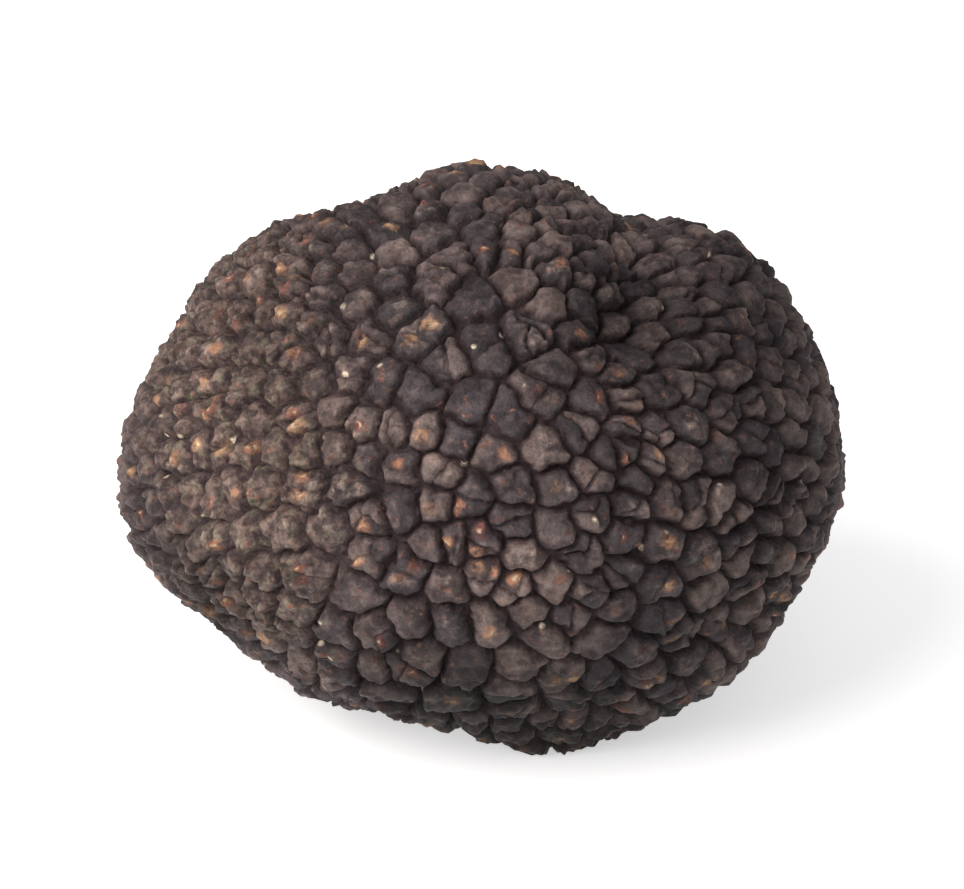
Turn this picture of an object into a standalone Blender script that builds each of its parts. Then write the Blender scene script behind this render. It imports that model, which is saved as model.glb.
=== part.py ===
"""A whole black truffle: one lobed body, roughly 60 mm across, under a rind of polygonal warts.

Metres, +Z up. The truffle stands on the small flat spot under its middle, at z = 0. Its front
faces -Y. The body is star-shaped about its heart, so a direction from the heart names one point
of the surface, and every form below is a change of radius along such a direction.
"""

import math

import bmesh
import bpy
import numpy as np

MM = 0.001

# Driving dimensions of the body under the warts, in mm
HALF_WIDTH = 29.1
HALF_DEPTH = 25.3
HALF_HEIGHT = 22.1

# Where the heart stands in the frame, in mm: its height sets how deep the flat spot is cut
HEART = (0.3, 0.3, 21.3)

# The side on show is described as seen from the front and this far above, in degrees
SIGHT_ABOVE = 25.0

# Swellings and hollows: (angle round the outline, angle towards the viewer, lift in mm, spread).
# Outline angles run anticlockwise from the right-hand end, and all angles are in degrees.
SWELLINGS = {
    "right_shoulder": (37, 0, 1.3, 12),
    "crown": (92, 5, 0.9, 14),
    "left_end": (188, 2, 0.8, 14),
    "left_ridge": (205, 46, 1.1, 14),
    "lower_left": (199, 0, 0.4, 9),
    "foot": (287, 2, 1.9, 17),
    "lower_right": (314, 12, 1.8, 17),
    "right_end": (354, 0, 0.4, 9),
    "belly": (330, 75, 0.8, 32),
    "back_lobe": (150, -46, 1.4, 22),
    "back_right": (12, -48, 1.0, 20),
    "heel": (250, -34, 0.9, 18),
    "notch_right_of_crown": (66, 0, -0.6, 8),
    "hollow_right_of_crown": (52, 30, -1.0, 10),
    "hollow_below_notch": (41, 50, -1.8, 12),
    "dip_left_of_crown": (115, 0, -2.8, 9),
    "dip_above_left_end": (160, 2, -1.2, 12),
    "undercut_left": (213, 6, -1.1, 14),
    "flank_below_left_ridge": (219, 24, -0.8, 11),
    "undercut_beside_foot": (255, 3, -2.3, 11),
    "dimple_lower_right": (320, 29, -0.9, 7),
    "dimple_left": (160, 45, -0.5, 12),
}

# Furrows: (start, end, depth in mm, half width), with each end an outline and a viewer angle
FURROWS = {
    "top_fold": ((67, -28), (42, 48), 1.6, 7.5),
    "back_fold": ((118, -30), (40, -66), 1.4, 7.0),
    "underside_fold": ((262, 2), (236, -52), 0.9, 7.5),
}
FURROW_END = 12.0  # degrees over which a furrow runs out

# The body's slow unevenness, in mm: a sum of waves that cross it in every direction
RUMPLE_WAVES = 26
RUMPLE_LIFT = 0.16
RUMPLE_PITCH = (3.0, 8.0)

# The warts of the rind
WART_COUNT = 870
WART_SEED = 11
SETTLE_STEPS = 3
SURFACE_SAMPLES = 15000
TOP_SHARE = 0.60  # how much of the way from its middle to its corner a wart is raised
TOP_LIFT = 0.50  # mm above the body
TOP_VARIATION = 0.16  # mm
GROOVE_DEPTH = 0.50  # mm below the body
SHORTEST_SIDE = 0.80  # mm: groove junctions nearer than this grow together
SLANT = (0.31, 0.17, 0.93)  # any direction that no wart's middle shares: its east is square to it
SHARPEST_SMOOTH = 30.0  # degrees: a steeper edge than this is shown sharp

# Where the warts are smaller and closer, written as the swellings are, with the lift as the share
# by which there are more of them
CROWDED = {
    "left_end": (185, 0, 0.9, 32),
    "crown": (95, 0, 0.8, 28),
    "right_end": (5, 0, 0.8, 30),
    "right_shoulder": (45, 20, 0.4, 20),
    "lower_right": (315, 0, 0.5, 22),
}

RIND_COLOUR = (0.066, 0.050, 0.046, 1.0)
RIND_ROUGHNESS = 0.72


def clear_scene():
    for obj in list(bpy.data.objects):
        bpy.data.objects.remove(obj)


def unit(vectors):
    return vectors / np.linalg.norm(vectors, axis=-1, keepdims=True)


def seen_direction(outline, towards):
    """The direction at this angle round the seen outline, turned this far towards the viewer."""
    above = math.radians(SIGHT_ABOVE)
    right = np.array([1.0, 0.0, 0.0])
    up = np.array([0.0, math.sin(above), math.cos(above)])
    viewer = np.array([0.0, -math.cos(above), math.sin(above)])
    turn = math.radians(outline)
    tip = math.radians(towards)
    rim = math.cos(turn) * right + math.sin(turn) * up
    return math.cos(tip) * rim + math.sin(tip) * viewer


def swelling(directions, outline, towards, lift, spread):
    nearness = np.clip(directions @ seen_direction(outline, towards), -1.0, 1.0)
    away = np.degrees(np.arccos(nearness))
    return lift * np.exp(-((away / spread) ** 2))


def furrow(directions, start, end, depth, half_width):
    """A valley along the shortest way over the body from one direction to another."""
    first = seen_direction(*start)
    last = seen_direction(*end)
    side = unit(np.cross(first, last))
    forward = np.cross(side, first)
    length = math.degrees(math.acos(first @ last))
    across = np.degrees(np.arcsin(np.clip(directions @ side, -1.0, 1.0)))
    along = np.degrees(np.arctan2(directions @ forward, directions @ first))
    past_end = np.maximum(np.abs(along - length / 2) - length / 2, 0.0)
    return -depth * np.exp(-((across / half_width) ** 2) - (past_end / FURROW_END) ** 2)


def rumple(directions):
    draw = np.random.default_rng(WART_SEED)
    total = np.zeros(len(directions))
    for _ in range(RUMPLE_WAVES):
        heading = unit(draw.normal(size=3))
        pitch = draw.uniform(*RUMPLE_PITCH)
        phase = draw.uniform(0.0, 2.0 * math.pi)
        total += np.cos(pitch * (directions @ heading) + phase)
    return RUMPLE_LIFT * total / math.sqrt(RUMPLE_WAVES / 2)


def body_radius(directions):
    """The distance from the heart to the body under the warts, in mm."""
    half_sizes = np.array([HALF_WIDTH, HALF_DEPTH, HALF_HEIGHT])
    radius = 1.0 / np.linalg.norm(directions / half_sizes, axis=1)
    for shape in SWELLINGS.values():
        radius = radius + swelling(directions, *shape)
    for shape in FURROWS.values():
        radius = radius + furrow(directions, *shape)
    return radius + rumple(directions)


def even_directions(count):
    """Directions spread evenly over a sphere along one spiral."""
    step = np.arange(count) + 0.5
    height = 1.0 - 2.0 * step / count
    turn = step * math.pi * (3.0 - math.sqrt(5.0))
    ring = np.sqrt(1.0 - height**2)
    return np.stack([ring * np.cos(turn), ring * np.sin(turn), height], axis=1)


def wart_middles():
    """The directions of the warts' middles: a random scatter, then moved apart a few times."""
    draw = np.random.default_rng(WART_SEED)
    samples = even_directions(SURFACE_SAMPLES)
    crowding = 1.0 + sum(swelling(samples, *place) for place in CROWDED.values())
    weight = crowding * body_radius(samples) ** 2
    chosen = draw.choice(len(samples), WART_COUNT, replace=False, p=weight / weight.sum())
    middles = samples[chosen]
    for _ in range(SETTLE_STEPS):
        nearest = np.argmax(samples.astype(np.float32) @ middles.T.astype(np.float32), axis=1)
        summed = np.zeros_like(middles)
        np.add.at(summed, nearest, samples * weight[:, None])
        middles = unit(summed)
    return middles


def groove_net(middles):
    """The net of grooves between the warts: its junctions, and each wart's ring of them.

    The hull of the middles joins each to its neighbours, and a junction lies where the three
    middles of one hull face are equally far away, which is along that face's normal.
    """
    hull = bmesh.new()
    verts = [hull.verts.new(middle) for middle in middles]
    bmesh.ops.convex_hull(hull, input=verts)
    bmesh.ops.triangulate(hull, faces=hull.faces)
    hull.normal_update()
    hull.faces.index_update()
    junctions = np.array([face.normal for face in hull.faces])
    junctions *= np.sign(np.sum(junctions * [face.verts[0].co for face in hull.faces], axis=1))[:, None]
    owner = grown_together(hull, junctions)
    merged = np.zeros_like(junctions)
    np.add.at(merged, owner, junctions)
    used = np.unique(owner)
    merged[used] = unit(merged[used])
    rings = [ring_of(vert, junctions, owner) for vert in verts]
    hull.free()
    return merged, rings


def grown_together(hull, junctions):
    """For each junction, the one that it is one with, because the side between them is short."""
    owner = list(range(len(junctions)))

    def root(index):
        while owner[index] != index:
            index = owner[index]
        return index

    mean_radius = (HALF_WIDTH + HALF_DEPTH + HALF_HEIGHT) / 3
    for edge in hull.edges:
        a, b = (face.index for face in edge.link_faces)
        if np.linalg.norm(junctions[a] - junctions[b]) * mean_radius < SHORTEST_SIDE:
            owner[root(a)] = root(b)
    return np.array([root(index) for index in range(len(owner))])


def ring_of(vert, junctions, owner):
    """A wart's junctions in order, anticlockwise as seen from outside."""
    middle = np.array(vert.co)
    east = unit(np.cross(middle, SLANT))
    north = np.cross(middle, east)
    faces = [face.index for face in vert.link_faces]
    faces.sort(key=lambda i: math.atan2(junctions[i] @ north, junctions[i] @ east))
    ring = []
    for index in faces:
        if owner[index] not in ring:
            ring.append(int(owner[index]))
    return ring


def on_surface(directions, lift):
    """Points this many mm above the body, in metres, with the resting spot pressed flat."""
    points = np.array(HEART) + directions * (body_radius(directions) + lift)[:, None]
    points[:, 2] = np.maximum(points[:, 2], 0.0)
    return points * MM


def rind_material():
    material = bpy.data.materials.new("truffle_rind")
    material.use_nodes = True
    shader = material.node_tree.nodes["Principled BSDF"]
    shader.inputs["Base Color"].default_value = RIND_COLOUR
    shader.inputs["Roughness"].default_value = RIND_ROUGHNESS
    shader.inputs["Metallic"].default_value = 0.0
    material.diffuse_color = RIND_COLOUR
    return material


def make_truffle():
    """The truffle as one closed mesh: a flat-topped pad for each wart, and the grooves between."""
    middles = wart_middles()
    junctions, rings = groove_net(middles)
    heights = TOP_LIFT + TOP_VARIATION * np.random.default_rng(WART_SEED).uniform(-1, 1, WART_COUNT)
    used = np.unique(np.concatenate(rings))
    mesh = bmesh.new()
    floor_verts = dict(zip(used, map(mesh.verts.new, on_surface(junctions[used], -GROOVE_DEPTH))))
    for middle, ring, height in zip(middles, rings, heights):
        rim = unit(middle + TOP_SHARE * (junctions[ring] - middle))
        top = [mesh.verts.new(point) for point in on_surface(rim, height)]
        mesh.faces.new(top)
        for i, j in zip(range(len(ring)), [*range(1, len(ring)), 0]):
            mesh.faces.new([floor_verts[ring[i]], floor_verts[ring[j]], top[j], top[i]])
    data = bpy.data.meshes.new("truffle")
    mesh.to_mesh(data)
    mesh.free()
    data.materials.append(rind_material())
    data.shade_smooth()
    data.set_sharp_from_angle(angle=math.radians(SHARPEST_SMOOTH))
    truffle = bpy.data.objects.new("truffle", data)
    bpy.context.scene.collection.objects.link(truffle)
    return truffle


clear_scene()
make_truffle()
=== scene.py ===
"""The looks of a whole black truffle: its warty rind as a fine mesh, the rind's finish, and a studio.

The piece lies in the frame in metres. Its form is worked out in millimetres, as a change of radius
along directions from the truffle's heart, over the same body and the same warts as the solid.
"""

import math

import bpy
import numpy as np
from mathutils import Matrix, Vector


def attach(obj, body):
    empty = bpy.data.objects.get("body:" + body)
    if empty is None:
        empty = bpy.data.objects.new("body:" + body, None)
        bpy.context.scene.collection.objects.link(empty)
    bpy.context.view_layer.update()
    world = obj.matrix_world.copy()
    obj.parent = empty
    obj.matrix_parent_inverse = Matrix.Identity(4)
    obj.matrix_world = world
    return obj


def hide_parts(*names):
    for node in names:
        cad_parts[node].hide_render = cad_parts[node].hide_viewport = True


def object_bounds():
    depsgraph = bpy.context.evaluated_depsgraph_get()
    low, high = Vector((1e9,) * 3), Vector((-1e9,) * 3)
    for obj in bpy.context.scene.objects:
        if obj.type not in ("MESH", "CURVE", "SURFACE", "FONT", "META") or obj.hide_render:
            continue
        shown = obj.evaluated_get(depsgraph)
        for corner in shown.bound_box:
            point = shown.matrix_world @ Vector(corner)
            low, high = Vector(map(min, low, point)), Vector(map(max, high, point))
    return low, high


MM = 0.001

# The body under the warts, as the solid has it, in mm
HALF_WIDTH = 29.1
HALF_DEPTH = 25.3
HALF_HEIGHT = 22.1
HEART = (0.3, 0.3, 21.3)
SIGHT_ABOVE = 25.0  # degrees: the side on show is described as seen from here, in front

# Swellings and hollows: (angle round the outline, angle towards the viewer, lift in mm, spread).
# Outline angles run anticlockwise from the right-hand end, and all angles are in degrees.
SWELLINGS = {
    "right_shoulder": (37, 0, 1.3, 12),
    "crown": (92, 5, 0.9, 14),
    "left_end": (188, 2, 0.8, 14),
    "left_ridge": (205, 46, 1.1, 14),
    "lower_left": (199, 0, 0.4, 9),
    "foot": (287, 2, 1.9, 17),
    "lower_right": (314, 12, 1.8, 17),
    "right_end": (354, 0, 0.4, 9),
    "belly": (330, 75, 0.8, 32),
    "back_lobe": (150, -46, 1.4, 22),
    "back_right": (12, -48, 1.0, 20),
    "heel": (250, -34, 0.9, 18),
    "notch_right_of_crown": (66, 0, -0.6, 8),
    "hollow_right_of_crown": (52, 30, -1.0, 10),
    "hollow_below_notch": (41, 50, -1.8, 12),
    "dip_left_of_crown": (115, 0, -2.8, 9),
    "dip_above_left_end": (160, 2, -1.2, 12),
    "undercut_left": (213, 6, -1.1, 14),
    "flank_below_left_ridge": (219, 24, -0.8, 11),
    "undercut_beside_foot": (255, 3, -2.3, 11),
    "dimple_lower_right": (320, 29, -0.9, 7),
    "dimple_left": (160, 45, -0.5, 12),
}

# Furrows: (start, end, depth in mm, half width), with each end an outline and a viewer angle
FURROWS = {
    "top_fold": ((67, -28), (42, 48), 1.6, 7.5),
    "back_fold": ((118, -30), (40, -66), 1.4, 7.0),
    "underside_fold": ((262, 2), (236, -52), 0.9, 7.5),
}
FURROW_END = 12.0  # degrees over which a furrow runs out

RUMPLE_WAVES = 26
RUMPLE_LIFT = 0.16
RUMPLE_PITCH = (3.0, 8.0)

# The warts, as the solid has them
WART_COUNT = 870
WART_SEED = 11
SETTLE_STEPS = 3
SURFACE_SAMPLES = 15000
TOP_LIFT = 0.50
TOP_VARIATION = 0.16

# Where the warts are smaller and closer, written as the swellings are, with the lift as the share
# by which there are more of them
CROWDED = {
    "left_end": (185, 0, 0.9, 32),
    "crown": (95, 0, 0.8, 28),
    "right_end": (5, 0, 0.8, 30),
    "right_shoulder": (45, 20, 0.4, 20),
    "lower_right": (315, 0, 0.5, 22),
}

# The fine form of each wart, in mm
LOOK_SEED = 23
NEIGHBOURS = 10  # how many warts round each one are looked at for its grooves
GROOVE_DEPTH = 0.72  # below the body
CORNER_EASE = 0.12  # how far a wart's corners are rounded
CUSHION_REACH = 0.75  # from a groove to where a wart's side has come level
CUSHION_POWER = 2.8  # how steeply the side leaves the groove
DOME_REACH = 1.5  # from a groove to where a big wart is highest
WIDEST_GAP = 0.07  # by which a groove can be wider on one side
WANDER = 0.13  # how far grooves wander from straight lines
QUIVER = 0.035  # and how far in small kinks
LOBES = 3  # the most lobes that cracks split a wart into
LOBE_SHARES = (0.55, 0.30, 0.15)  # of the warts that are whole, in two and in three
LOBE_TURN = 0.3  # radians by which the lobes' places stray from an even ring
LOBE_REACH = (0.45, 1.0)  # from the wart's middle to a lobe's
FAR_OFF = 9.0  # where the lobes that a wart doesn't have are put
CRACK_DEPTH = (0.12, 0.60)  # of the shallowest and the deepest cracks
CRACK_HALF_WIDTH = 0.20
SUNK = 0.18  # how far a lobe's top can lie under the solid's
SLOPE = 0.09  # of a lobe's top, sideways for each mm
DOME = (0.05, 0.42)  # how much higher than its rim a lobe's top can be
TIP_PITS = (0.0, 0.16, -0.14)  # how deep a pit is at a lobe's tip, or how high a peak
TIP_PIT_SHARES = (0.5, 0.3, 0.2)
TIP_PIT_RADIUS = 0.30
TIP_ASTRAY = 0.30  # how far a tip strays from its lobe's middle
CRUMB = 0.13  # the height of the small lumps on the warts
RUBBED_CRUMB = 0.30  # and of those on rubbed skin
MEAN_CRUMB = 0.8  # times that height, to be taken off so that the lumps don't raise the whole
HIGHEST_CRUMB = 1.6  # times that height
GRIT = 0.040
RUBBED_SHALLOWER = 0.40  # the share of a groove's depth that rubbed skin has lost

# The unevenness of the grooves and tops: how many waves, the longest and the shortest of them
WANDER_WAVES = (16, 3.2, 1.4)
QUIVER_WAVES = (16, 1.0, 0.5)
CRUMB_WAVES = (24, 2.6, 1.5)
GRIT_WAVES = (24, 1.1, 0.7)

# What the finish is told of that form, in mm
# The groove colour is partly the rind's own dark colour and partly painted shade in the grooves and
# cracks and up the warts' sides
GROOVE_SHADE = 0.25  # how far the colour of a groove reaches up a wart's side
CRACK_SHADE = 0.16
RUBBED_GROOVE = 0.3  # the share of that colour that rubbed skin has lost
RISE_FROM = 0.15  # the height over the body where a crest begins to be pale
RISE_OVER = 0.75  # and how much higher it is all pale
TIP_SHADE = 0.55  # the radius of a worn tip

# Where the skin is rubbed, crumbly and dusty, written as the swellings are, with a strength for
# the lift
RUBBED = {
    "upper_left": (152, 16, 0.85, 25),
    "left_middle": (178, 44, 0.95, 24),
    "left_ridge": (208, 50, 0.35, 15),
    "low_ridge": (219, 37, 0.60, 9),
    "left_flank": (206, 18, 0.55, 12),
    "foot": (284, 5, 0.75, 17),
    "far_side": (140, -50, 0.60, 30),
}

# Painted shade: where the skin is darkened to stand for the shade on the underside, the right, the
# hollow and the flank, written in the same way
PAINTED_SHADE_PLACES = {
    "underside": (280, 6, 1.0, 43),
    "low_middle": (256, 42, 0.38, 20),
    "lower_right": (319, 42, 0.30, 20),
    "right": (358, 26, 0.50, 28),
    "upper_right": (30, 5, 0.30, 24),
    "hollow": (46, 44, 0.60, 17),
    "left_flank": (209, 18, 0.70, 15),
}

# Where few warts have a worn tip, written in the same way
UNWORN = {
    "right": (5, 28, 1.0, 28),
    "upper_right": (44, 25, 1.0, 28),
}
UNWORN_SHARE = 0.4  # of the wear that is missing there

# Noises of the skin: the size of their features in mm, and their detail
SKIN_NOISES = {
    "patches": (8.0, 3.0),  # a few warts that have weathered alike
    "blotches": (1.9, 4.0),  # half a wart
    "tones": (1.3, 2.0),
    "mottling": (0.80, 3.0),  # the low lumps on a wart's sides
    "flecks": (0.55, 2.0),  # where the outermost skin has come off
    "grain": (0.30, 4.0),
    "grit": (0.16, 3.0),  # soil dust, which is finer than 0.1 mm and is drawn coarser so it shows
}
NOISE_ROUGHNESS = 0.6
LUMP_HEIGHT = 0.15  # mm, of the mottling and grain in the bump
LUMP_STRENGTH = 0.9
GRIT_HEIGHT = 0.05  # mm
GRIT_STRENGTH = 0.8
SKIN_ROUGHNESS = (0.48, 0.70)  # from a waxy wart to dusty skin
SPECK_PITCH = 1.9  # mm between the places where a pale speck can be
SPECK_REACH = (0.20, 0.08)  # of a speck's edge and of its full strength, as shares of the pitch

# The colours of the skin, one laid over another. Each one runs from its first colour to its second
# with the source named first, and covers what is under it by the product of its masks. A source
# comes with the two values of it that count as none and as all.
SKIN_LAYERS = {
    "purple_black_skin": ("#3e3536", "#716361", ("blotches", 0.32, 0.68), ()),
    "brown_patches": ("#4d413f", "#7d6d67", ("blotches", 0.30, 0.70), (("patches", 0.42, 0.62),)),
    "darker_warts": ("#342d2f", "#50484a", ("blotches", 0.30, 0.70), (("tint", 0.70, 0.30),)),
    "dust": (
        "#473836",
        "#725f57",
        ("mottling", 0.35, 0.65),
        (("rubbed", 0.0, 1.0), ("blotches", 0.28, 0.58)),
    ),
    "pale_crests": (
        "#7b6b65",
        "#9a877c",
        ("mottling", 0.40, 0.70),
        (("rise", 0.40, 1.30), ("mottling", 0.32, 0.72)),
    ),
    "olive_bloom": (
        "#544d42",
        "#7b7262",
        ("mottling", 0.35, 0.65),
        (("rubbed", 0.05, 1.20), ("tones", 0.48, 0.66)),
    ),
    "rust_blotches": (
        "#5e3f37",
        "#845c4e",
        ("mottling", 0.35, 0.65),
        (("flecks", 0.54, 0.72), ("tones", 0.40, 0.62)),
    ),
    "rust_tips": (
        "#824b43",
        "#9f654f",
        ("hue", 0.05, 0.40),
        (("wear", 0.54, 0.90), ("tip", 0.10, 0.95), ("flecks", 0.26, 0.62)),
    ),
    "tan_tips": (
        "#a47a5c",
        "#b59572",
        ("hue", 0.50, 0.90),
        (("wear", 0.54, 0.90), ("tip", 0.10, 0.95), ("flecks", 0.26, 0.62), ("hue", 0.38, 0.48)),
    ),
    "bare_flesh": (
        "#b69c80",
        "#d2c0a2",
        ("flecks", 0.35, 0.65),
        (("wear", 0.72, 0.95), ("tip", 0.72, 0.98), ("flecks", 0.36, 0.52)),
    ),
    # grooves: partly the rind's own dark colour, partly painted shade in the grooves and up the warts'
    # sides
    "grooves_own_and_painted_shade": ("#362a2b", "#403334", ("mottling", 0.35, 0.65), (("groove_colour_and_shade", 0.0, 1.0),)),
    "specks": (
        "#c4b096",
        "#dccdb6",
        ("grain", 0.35, 0.65),
        (("speck_away", *SPECK_REACH), ("speck_kind", 0.77, 0.81), ("grain", 0.28, 0.46)),
    ),
}

# What brightens and darkens the skin: a source, its two values, and the factor at each
SKIN_SHADES = {
    "patches": (0.36, 0.64, 0.84, 1.13),
    "mottling": (0.25, 0.75, 0.70, 1.22),
    "grain": (0.25, 0.75, 0.80, 1.15),
    "grit": (0.25, 0.75, 0.84, 1.14),
    # painted shade: the skin darkened where it lies in shade, under the truffle, on its right and in
    # hollows
    "painted_shade": (0.0, 1.0, 1.0, 0.24),
}

# The fine mesh
CORNER_KEYS = 1e6  # points of the cube's sides that match to a part in this many are one
FINE_CELLS = 330  # along each edge of the cube that is pushed out to the sphere
FINE_TRIANGLES = 196000
CHUNK = 20000  # directions that are looked up at a time
SLANT = (0.31, 0.17, 0.93)  # any direction that no wart's middle shares: its east is square to it

# A colour Mix node's sockets
MIX_A = 6
MIX_B = 7
MIX_RESULT = 2

# The view: the photograph's height above the table, in degrees, from a long way off
CAMERA_ABOVE = 25.0
CAMERA_AWAY = 0.42
CAMERA_LENS = 190.0
SENSOR = 36.0

# The studio, in metres and watts. A light has its place, its width, its power and its colour.
TABLE_HALF = 3.0
TABLE_DROP = 0.00005  # so that the table and the truffle's flat spot aren't in one plane
TABLE_GLOW = 0.50
SKY_STRENGTH = 0.42
LIGHTS = {
    "key": ((-0.75, -0.50, 0.75), 1.10, 15.2, "#fffaf8"),
    "fill": ((0.20, -1.00, 0.70), 0.90, 2.0, "#fcfcff"),
}

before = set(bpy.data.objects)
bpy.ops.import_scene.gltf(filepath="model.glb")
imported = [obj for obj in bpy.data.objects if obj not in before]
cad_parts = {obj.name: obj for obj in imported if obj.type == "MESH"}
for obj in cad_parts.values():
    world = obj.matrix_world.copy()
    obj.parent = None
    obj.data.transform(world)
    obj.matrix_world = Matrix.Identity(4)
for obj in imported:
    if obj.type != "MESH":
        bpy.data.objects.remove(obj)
solid_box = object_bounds()


def unit(vectors):
    return vectors / np.linalg.norm(vectors, axis=-1, keepdims=True)


def linear(hex_colour):
    """An sRGB hex colour as linear red, green, blue and alpha."""
    channels = [int(hex_colour[i : i + 2], 16) / 255 for i in (1, 3, 5)]
    return (*[c / 12.92 if c <= 0.04045 else ((c + 0.055) / 1.055) ** 2.4 for c in channels], 1.0)


def seen_direction(outline, towards):
    """The direction at this angle round the seen outline, turned this far towards the viewer."""
    above = math.radians(SIGHT_ABOVE)
    right = np.array([1.0, 0.0, 0.0])
    up = np.array([0.0, math.sin(above), math.cos(above)])
    viewer = np.array([0.0, -math.cos(above), math.sin(above)])
    turn = math.radians(outline)
    tip = math.radians(towards)
    rim = math.cos(turn) * right + math.sin(turn) * up
    return math.cos(tip) * rim + math.sin(tip) * viewer


def swelling(directions, outline, towards, lift, spread):
    nearness = np.clip(directions @ seen_direction(outline, towards), -1.0, 1.0)
    away = np.degrees(np.arccos(nearness))
    return lift * np.exp(-((away / spread) ** 2))


def furrow(directions, start, end, depth, half_width):
    """A valley along the shortest way over the body from one direction to another."""
    first = seen_direction(*start)
    last = seen_direction(*end)
    side = unit(np.cross(first, last))
    forward = np.cross(side, first)
    length = math.degrees(math.acos(first @ last))
    across = np.degrees(np.arcsin(np.clip(directions @ side, -1.0, 1.0)))
    along = np.degrees(np.arctan2(directions @ forward, directions @ first))
    past_end = np.maximum(np.abs(along - length / 2) - length / 2, 0.0)
    return -depth * np.exp(-((across / half_width) ** 2) - (past_end / FURROW_END) ** 2)


def waves(directions, draw, count, pitches):
    """Even, random unevenness of about unit height: waves that cross the body every way."""
    total = np.zeros(len(directions))
    for _ in range(count):
        heading = unit(draw.normal(size=3))
        pitch = draw.uniform(*pitches)
        phase = draw.uniform(0.0, 2.0 * math.pi)
        total += np.cos(pitch * (directions @ heading) + phase)
    return total / math.sqrt(count / 2)


def body_radius(directions):
    """The distance from the heart to the body under the warts, in mm."""
    half_sizes = np.array([HALF_WIDTH, HALF_DEPTH, HALF_HEIGHT])
    radius = 1.0 / np.linalg.norm(directions / half_sizes, axis=1)
    for shape in SWELLINGS.values():
        radius = radius + swelling(directions, *shape)
    for shape in FURROWS.values():
        radius = radius + furrow(directions, *shape)
    draw = np.random.default_rng(WART_SEED)
    return radius + RUMPLE_LIFT * waves(directions, draw, RUMPLE_WAVES, RUMPLE_PITCH)


def even_directions(count):
    """Directions spread evenly over a sphere along one spiral."""
    step = np.arange(count) + 0.5
    height = 1.0 - 2.0 * step / count
    turn = step * math.pi * (3.0 - math.sqrt(5.0))
    ring = np.sqrt(1.0 - height**2)
    return np.stack([ring * np.cos(turn), ring * np.sin(turn), height], axis=1)


def wart_middles():
    """The directions of the warts' middles: a random scatter, then moved apart a few times."""
    draw = np.random.default_rng(WART_SEED)
    samples = even_directions(SURFACE_SAMPLES)
    crowding = 1.0 + sum(swelling(samples, *place) for place in CROWDED.values())
    weight = crowding * body_radius(samples) ** 2
    chosen = draw.choice(len(samples), WART_COUNT, replace=False, p=weight / weight.sum())
    middles = samples[chosen]
    for _ in range(SETTLE_STEPS):
        nearest = np.argmax(samples.astype(np.float32) @ middles.T.astype(np.float32), axis=1)
        summed = np.zeros_like(middles)
        np.add.at(summed, nearest, samples * weight[:, None])
        middles = unit(summed)
    return middles


def pitch_of(wavelength):
    """The pitch that gives waves this long, in mm, on a body of the truffle's mean radius."""
    mean_radius = (HALF_WIDTH + HALF_DEPTH + HALF_HEIGHT) / 3
    return 2.0 * math.pi * mean_radius / wavelength


def band(directions, draw, count, longest, shortest):
    """Unevenness of about unit height, with waves between these lengths in mm."""
    return waves(directions, draw, count, (pitch_of(longest), pitch_of(shortest)))


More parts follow.
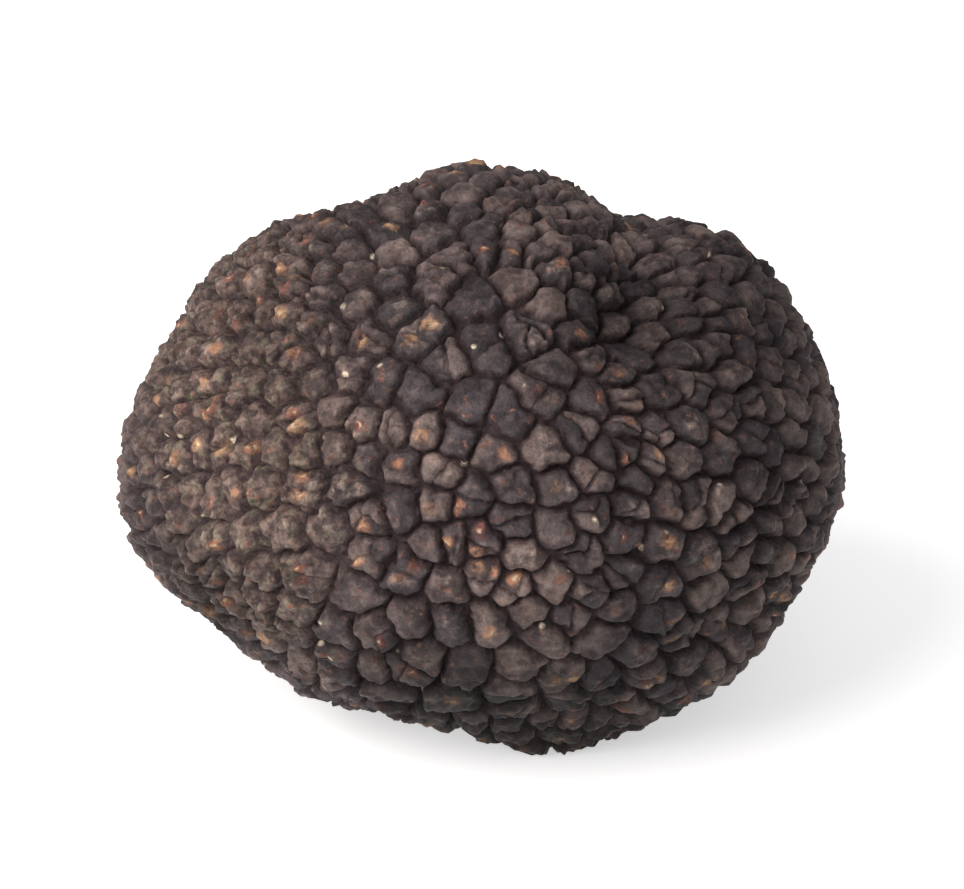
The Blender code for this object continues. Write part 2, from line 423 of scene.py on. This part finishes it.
class Rind:
    """The warts' own sizes and tempers, drawn once, and the fields that they give.

    A lobe is a whole wart, or one part of a wart that cracks split. Lobe number k of wart w has
    place w * LOBES + k in the lists.
    """

    def __init__(self):
        self.middles = wart_middles()
        nearness = self.middles @ self.middles.T
        self.neighbours = np.argsort(-nearness, axis=1)[:, 1 : NEIGHBOURS + 1]
        self.east = unit(np.cross(self.middles, SLANT))
        self.north = np.cross(self.middles, self.east)
        self.lobes = self.place_lobes(np.random.default_rng(LOOK_SEED))
        lifts = np.random.default_rng(WART_SEED).uniform(-1, 1, WART_COUNT)
        draw = np.random.default_rng(LOOK_SEED)
        count = WART_COUNT * LOBES
        self.lift = TOP_LIFT + TOP_VARIATION * np.repeat(lifts, LOBES) - draw.uniform(0.0, SUNK, count)
        self.crack = draw.uniform(*CRACK_DEPTH, count)
        self.tilt = draw.normal(0.0, SLOPE, (count, 2))
        self.dome = draw.uniform(*DOME, count)
        self.gap = draw.uniform(0.0, WIDEST_GAP, count)
        self.pit = draw.choice(TIP_PITS, count, p=TIP_PIT_SHARES)
        self.tip = draw.normal(0.0, TIP_ASTRAY, (count, 2))
        self.tint = draw.uniform(0, 1, count)
        self.hue = draw.uniform(0, 1, count)
        self.wear = draw.uniform(0, 1, count)

    def place_lobes(self, draw):
        """Where each wart's lobes have their middles, in mm east and north of the wart's own."""
        kinds = draw.choice(LOBES, WART_COUNT, p=LOBE_SHARES)
        start = draw.uniform(0, 2 * math.pi, WART_COUNT)
        places = np.full((WART_COUNT, LOBES, 2), FAR_OFF)
        places[:, 0] = 0.0
        for wart in range(WART_COUNT):
            parts = kinds[wart] + 1
            if parts == 1:
                continue
            turns = start[wart] + 2 * math.pi * np.arange(parts) / parts
            turns = turns + draw.normal(0, LOBE_TURN, parts)
            reach = draw.uniform(*LOBE_REACH, parts)
            places[wart, :parts, 0] = reach * np.cos(turns)
            places[wart, :parts, 1] = reach * np.sin(turns)
        return places

    def fields(self, directions):
        """What the relief and the finish need to know at each direction."""
        draw = np.random.default_rng(LOOK_SEED)
        radius = body_radius(directions)
        wander = np.stack([band(directions, draw, *WANDER_WAVES) for _ in range(3)], axis=1)
        quiver = np.stack([band(directions, draw, *QUIVER_WAVES) for _ in range(3)], axis=1)
        bent = unit(directions + (WANDER * wander + QUIVER * quiver) / radius[:, None])
        wart = self.nearest(bent)
        offset = bent - self.middles[wart]
        east = np.sum(offset * self.east[wart], axis=1) * radius
        north = np.sum(offset * self.north[wart], axis=1) * radius
        across = np.stack([east, north], axis=1)
        part, split = self.lobe_of(across, wart)
        lobe = wart * LOBES + part
        across = across - self.lobes[wart, part]
        lumps = np.abs(band(directions, draw, *CRUMB_WAVES))
        return {
            "radius": radius,
            "lobe": lobe,
            "side": self.groove_distance(bent, wart, radius) - self.gap[lobe],
            "split": split,
            "across": across,
            "tip_away": np.linalg.norm(across - self.tip[lobe], axis=1),
            "lumps": np.minimum(lumps, HIGHEST_CRUMB),
            "grit": band(directions, draw, *GRIT_WAVES),
            "rubbed": share(directions, RUBBED),
        }

    def nearest(self, directions):
        """The wart that each direction falls on."""
        found = np.empty(len(directions), int)
        columns = self.middles.T.astype(np.float32)
        for start in range(0, len(directions), CHUNK):
            few = directions[start : start + CHUNK].astype(np.float32)
            found[start : start + CHUNK] = np.argmax(few @ columns, axis=1)
        return found

    def groove_distance(self, directions, wart, radius):
        """How far each direction is from its wart's groove, in mm, with the corners eased."""
        nearness = np.zeros(len(directions))
        for column in self.neighbours.T:
            apart = unit(self.middles - self.middles[column])
            distance = np.sum(apart[wart] * directions, axis=1) * radius
            nearness += np.exp(-distance / CORNER_EASE)
        return -CORNER_EASE * np.log(nearness)

    def lobe_of(self, across, wart):
        """The lobe of its wart that each point falls on, and how far it is from the split, in mm."""
        places = self.lobes[wart]
        away = np.sum((across[:, None, :] - places) ** 2, axis=2)
        part = np.argmin(away, axis=1)
        every = np.arange(len(wart))
        own = places[every, part]
        apart = np.linalg.norm(places - own[:, None, :], axis=2)
        apart[every, part] = 1.0
        distance = (away - away[every, part][:, None]) / (2 * apart)
        distance[every, part] = FAR_OFF
        return part, distance.min(axis=1)

    def relief(self, field):
        """The rind's height over the body, in mm."""
        lobe = field["lobe"]
        worn = field["rubbed"]
        inward = np.clip(field["side"] / CUSHION_REACH, 0.0, 1.0)
        cushion = 1.0 - (1.0 - inward) ** CUSHION_POWER
        top = self.lift[lobe] + np.sum(self.tilt[lobe] * field["across"], axis=1)
        top = top + self.dome[lobe] * np.clip(field["side"] / DOME_REACH, 0.0, 1.0)
        top = top - self.crack[lobe] * np.exp(-((field["split"] / CRACK_HALF_WIDTH) ** 2))
        top = top - self.pit[lobe] * np.exp(-((field["tip_away"] / TIP_PIT_RADIUS) ** 2))
        lump_height = CRUMB + (RUBBED_CRUMB - CRUMB) * worn
        top = top + lump_height * (field["lumps"] - MEAN_CRUMB) + GRIT * (1.0 + worn) * field["grit"]
        depth = GROOVE_DEPTH * (1.0 - RUBBED_SHALLOWER * worn)
        return -depth + cushion * (depth + top)


def share(directions, places):
    """How far each direction lies within such places, from 0 to 1."""
    return np.clip(sum(swelling(directions, *place) for place in places.values()), 0.0, 1.0)


def sphere_grid(cells):
    """The directions of a cube's gridded faces pushed out to a sphere, and their squares."""
    line = np.tan(np.linspace(-1.0, 1.0, cells + 1) * math.pi / 4)
    first, second = np.meshgrid(line, line, indexing="ij")
    first = first.ravel()
    second = second.ravel()
    index = np.arange(len(first)).reshape(cells + 1, cells + 1)
    squares = np.stack([index[:-1, :-1], index[1:, :-1], index[1:, 1:], index[:-1, 1:]], axis=-1)
    squares = squares.reshape(-1, 4)
    points = []
    faces = []
    for axis in range(3):
        for sign in (1.0, -1.0):
            side = np.empty((len(first), 3))
            side[:, axis] = sign
            side[:, (axis + 1) % 3] = first
            side[:, (axis + 2) % 3] = second * sign
            faces.append(squares + len(first) * len(points))
            points.append(side)
    points = unit(np.concatenate(points))
    faces = np.concatenate(faces)
    keys = np.round(points * CORNER_KEYS).astype(np.int64)
    _, kept, place = np.unique(keys, axis=0, return_index=True, return_inverse=True)
    return points[kept], place.reshape(-1)[faces]


def mesh_from(name, points, faces):
    mesh = bpy.data.meshes.new(name)
    mesh.vertices.add(len(points))
    mesh.vertices.foreach_set("co", points.astype(np.float32).ravel())
    mesh.loops.add(faces.size)
    mesh.loops.foreach_set("vertex_index", faces.astype(np.int32).ravel())
    mesh.polygons.add(len(faces))
    mesh.polygons.foreach_set("loop_start", np.arange(0, faces.size, faces.shape[1], dtype=np.int32))
    mesh.update(calc_edges=True)
    return mesh


def vertex_points(mesh):
    points = np.empty(len(mesh.vertices) * 3, np.float32)
    mesh.vertices.foreach_get("co", points)
    return points.reshape(-1, 3).astype(float)


def thinned(mesh, triangles):
    """The same surface with fewer triangles, kept where it bends most."""
    piece = bpy.data.objects.new("fine_truffle", mesh)
    bpy.context.scene.collection.objects.link(piece)
    thinning = piece.modifiers.new("thinning", "DECIMATE")
    thinning.ratio = triangles / (2 * len(mesh.polygons))
    fine = piece.evaluated_get(bpy.context.evaluated_depsgraph_get())
    result = bpy.data.meshes.new_from_object(fine)
    bpy.data.objects.remove(piece)
    return result


def pressed_flat(points):
    """Points in mm, with what would reach below the table pressed up to it."""
    points[:, 2] = np.maximum(points[:, 2], 0.0)
    return points


def make_truffle(rind):
    """The rind as one closed mesh, with what its finish needs to know stored on its vertices."""
    cells = FINE_CELLS
    triangles = FINE_TRIANGLES
    directions, faces = sphere_grid(cells)
    fields = rind.fields(directions)
    body = np.array(HEART) + directions * fields["radius"][:, None]
    body[:, 2] = np.maximum(body[:, 2], TOP_LIFT)
    points = pressed_flat(body + directions * rind.relief(fields)[:, None])
    mesh = thinned(mesh_from("dense_truffle", points * MM, faces), triangles)
    mesh.name = "truffle_rind"
    mesh.shade_smooth()
    points = pressed_flat(vertex_points(mesh) / MM)
    mesh.vertices.foreach_set("co", (points * MM).astype(np.float32).ravel())
    directions = unit(points - np.array(HEART))
    fields = rind.fields(directions)
    lobe = fields["lobe"]
    # painted shade, partly the rind's own dark colour: darkening in the grooves and cracks and up the
    # warts' sides
    near_groove = np.exp(-((np.clip(fields["side"], 0, None) / GROOVE_SHADE) ** 2))
    in_crack = np.exp(-((fields["split"] / CRACK_SHADE) ** 2)) * rind.crack[lobe] / CRACK_DEPTH[1]
    groove_colour_and_shade = np.maximum(near_groove, in_crack) * (1.0 - RUBBED_GROOVE * fields["rubbed"])
    give(mesh, "groove_colour_and_shade", groove_colour_and_shade)
    give(mesh, "rise", np.clip((rind.relief(fields) - RISE_FROM) / RISE_OVER, 0.0, 1.0))
    give(mesh, "tint", rind.tint[lobe])
    give(mesh, "hue", rind.hue[lobe])
    give(mesh, "wear", rind.wear[lobe] * (1.0 - UNWORN_SHARE * share(directions, UNWORN)))
    give(mesh, "tip", np.exp(-((fields["tip_away"] / TIP_SHADE) ** 2)))
    give(mesh, "rubbed", fields["rubbed"])
    # painted shade: how far each vertex lies in the places darkened to stand for shade
    give(mesh, "painted_shade", share(directions, PAINTED_SHADE_PLACES))
    truffle = bpy.data.objects.new("truffle_rind", mesh)
    bpy.context.scene.collection.objects.link(truffle)
    return truffle


def give(mesh, name, values):
    """Stores one number for each vertex, for the finish to read."""
    attribute = mesh.attributes.new(name, "FLOAT", "POINT")
    attribute.data.foreach_set("value", values.astype(np.float32))


def add_node(tree, kind, inputs, **settings):
    """Adds a node with its settings, and gives each named input its value or its link."""
    node = tree.nodes.new(kind)
    for name, value in settings.items():
        setattr(node, name, value)
    for name, value in inputs.items():
        if isinstance(value, bpy.types.NodeSocket):
            tree.links.new(value, node.inputs[name])
        else:
            node.inputs[name].default_value = value
    return node


def per(size_mm):
    """A texture's scale in metres that gives features of this size in mm."""
    return 1.0 / (size_mm * MM)


def truffle_peridium():
    """The rind of a ripe black truffle: dry, matt and brown-black, a little waxy on the warts.

    The warts' tops are grey-brown with a bloom of dust, many tips are worn to tan or rust, and
    the grooves between them are almost black, partly their own colour and partly painted shade.
    The underside, the right and the hollows are darkened as painted shade.
    """
    material = bpy.data.materials.new("truffle_peridium")
    material.use_nodes = True
    tree = material.node_tree
    shader = tree.nodes["Principled BSDF"]

    place = add_node(tree, "ShaderNodeTexCoord", {}).outputs["Object"]
    source = {}
    for name in ("groove_colour_and_shade", "rise", "tint", "hue", "wear", "tip", "rubbed", "painted_shade"):
        source[name] = add_node(tree, "ShaderNodeAttribute", {}, attribute_name=name).outputs["Fac"]
    for name, (size, detail) in SKIN_NOISES.items():
        inputs = {"Vector": place, "Scale": per(size), "Detail": detail, "Roughness": NOISE_ROUGHNESS}
        source[name] = add_node(tree, "ShaderNodeTexNoise", inputs).outputs["Fac"]
    cells = add_node(tree, "ShaderNodeTexVoronoi", {"Vector": place, "Scale": per(SPECK_PITCH)})
    source["speck_away"] = cells.outputs["Distance"]
    source["speck_kind"] = cells.outputs["Color"]

    skin = linear("#000000")
    for first, second, pattern, masks in SKIN_LAYERS.values():
        steps = []
        for name, low, high in (pattern, *masks):
            inputs = {"Value": source[name], "From Min": low, "From Max": high}
            step = add_node(tree, "ShaderNodeMapRange", inputs, interpolation_type="SMOOTHSTEP")
            steps.append(step.outputs["Result"])
        inputs = {0: steps[0], MIX_A: linear(first), MIX_B: linear(second)}
        colour = add_node(tree, "ShaderNodeMix", inputs, data_type="RGBA").outputs[MIX_RESULT]
        covering = 1.0
        for step in steps[1:]:
            product = add_node(tree, "ShaderNodeMath", {0: covering, 1: step}, operation="MULTIPLY")
            covering = product.outputs["Value"]
        inputs = {0: covering, MIX_A: skin, MIX_B: colour}
        skin = add_node(tree, "ShaderNodeMix", inputs, data_type="RGBA").outputs[MIX_RESULT]
    for name, (low, high, at_low, at_high) in SKIN_SHADES.items():
        inputs = {"Value": source[name], "From Min": low, "From Max": high}
        inputs.update({"To Min": at_low, "To Max": at_high})
        factor = add_node(tree, "ShaderNodeMapRange", inputs, interpolation_type="SMOOTHSTEP")
        inputs = {0: 1.0, MIX_A: skin, MIX_B: factor.outputs["Result"]}
        shaded = add_node(tree, "ShaderNodeMix", inputs, data_type="RGBA", blend_type="MULTIPLY")
        skin = shaded.outputs[MIX_RESULT]
    tree.links.new(skin, shader.inputs["Base Color"])

    inputs = {"Value": source["grain"], "From Min": 0.3, "From Max": 0.7}
    inputs.update({"To Min": SKIN_ROUGHNESS[0], "To Max": SKIN_ROUGHNESS[1]})
    uneven = add_node(tree, "ShaderNodeMapRange", inputs, interpolation_type="SMOOTHSTEP")
    tree.links.new(uneven.outputs["Result"], shader.inputs["Roughness"])
    shader.inputs["IOR"].default_value = 1.45
    shader.inputs["Specular IOR Level"].default_value = 0.18
    inputs = {0: source["mottling"], 1: source["grain"]}
    lumps = add_node(tree, "ShaderNodeMath", inputs, operation="ADD").outputs["Value"]
    inputs = {"Height": lumps, "Strength": LUMP_STRENGTH, "Distance": LUMP_HEIGHT * MM}
    lumpy = add_node(tree, "ShaderNodeBump", inputs).outputs["Normal"]
    inputs = {"Height": source["grit"], "Strength": GRIT_STRENGTH, "Distance": GRIT_HEIGHT * MM}
    inputs["Normal"] = lumpy
    gritty = add_node(tree, "ShaderNodeBump", inputs).outputs["Normal"]
    tree.links.new(gritty, shader.inputs["Normal"])
    return material


def matt_white_table():
    """A matt white painted board, lit up enough to be as plain and bright as a studio sweep."""
    material = bpy.data.materials.new("matt_white_table")
    material.use_nodes = True
    shader = material.node_tree.nodes["Principled BSDF"]
    shader.inputs["Base Color"].default_value = linear("#f4f4f4")
    shader.inputs["Roughness"].default_value = 0.9
    shader.inputs["Specular IOR Level"].default_value = 0.2
    shader.inputs["Emission Color"].default_value = linear("#ffffff")
    shader.inputs["Emission Strength"].default_value = TABLE_GLOW
    return material


def make_table():
    corners = TABLE_HALF * np.array([(-1, -1, 0), (1, -1, 0), (1, 1, 0), (-1, 1, 0)], float)
    corners[:, 2] = -TABLE_DROP
    table = bpy.data.objects.new("table", mesh_from("table", corners, np.array([[0, 1, 2, 3]])))
    table.data.materials.append(matt_white_table())
    bpy.context.scene.collection.objects.link(table)


def aimed(place, target):
    """The rotation that looks from a place at a target."""
    return (Vector(target) - Vector(place)).to_track_quat("-Z", "Y").to_euler()


def make_camera(target):
    data = bpy.data.cameras.new("camera")
    data.lens = CAMERA_LENS
    data.sensor_width = SENSOR
    data.clip_start = 0.01
    data.clip_end = 20.0
    camera = bpy.data.objects.new("camera", data)
    above = math.radians(CAMERA_ABOVE)
    back = Vector((0.0, -math.cos(above), math.sin(above)))
    camera.location = target + CAMERA_AWAY * back
    camera.rotation_euler = aimed(camera.location, target)
    bpy.context.scene.collection.objects.link(camera)
    bpy.context.scene.camera = camera


def make_light(name, target, place, size, power, colour):
    data = bpy.data.lights.new(name, "AREA")
    data.shape = "DISK"
    data.size = size
    data.energy = power
    data.color = linear(colour)[:3]
    light = bpy.data.objects.new(name, data)
    light.location = place
    light.rotation_euler = aimed(place, target)
    bpy.context.scene.collection.objects.link(light)


def make_studio(target):
    world = bpy.data.worlds.new("studio")
    world.use_nodes = True
    background = world.node_tree.nodes["Background"]
    background.inputs["Color"].default_value = linear("#ffffff")
    background.inputs["Strength"].default_value = SKY_STRENGTH
    scene = bpy.context.scene
    scene.world = world
    scene.view_settings.view_transform = "Standard"
    for name, light in LIGHTS.items():
        make_light(name, target, *light)


middle_of_box = (solid_box[0] + solid_box[1]) / 2
make_camera(middle_of_box)
make_studio(middle_of_box)
make_table()

truffle = make_truffle(Rind())
truffle.data.materials.clear()
truffle.data.materials.append(truffle_peridium())
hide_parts("truffle")
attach(truffle, "root")
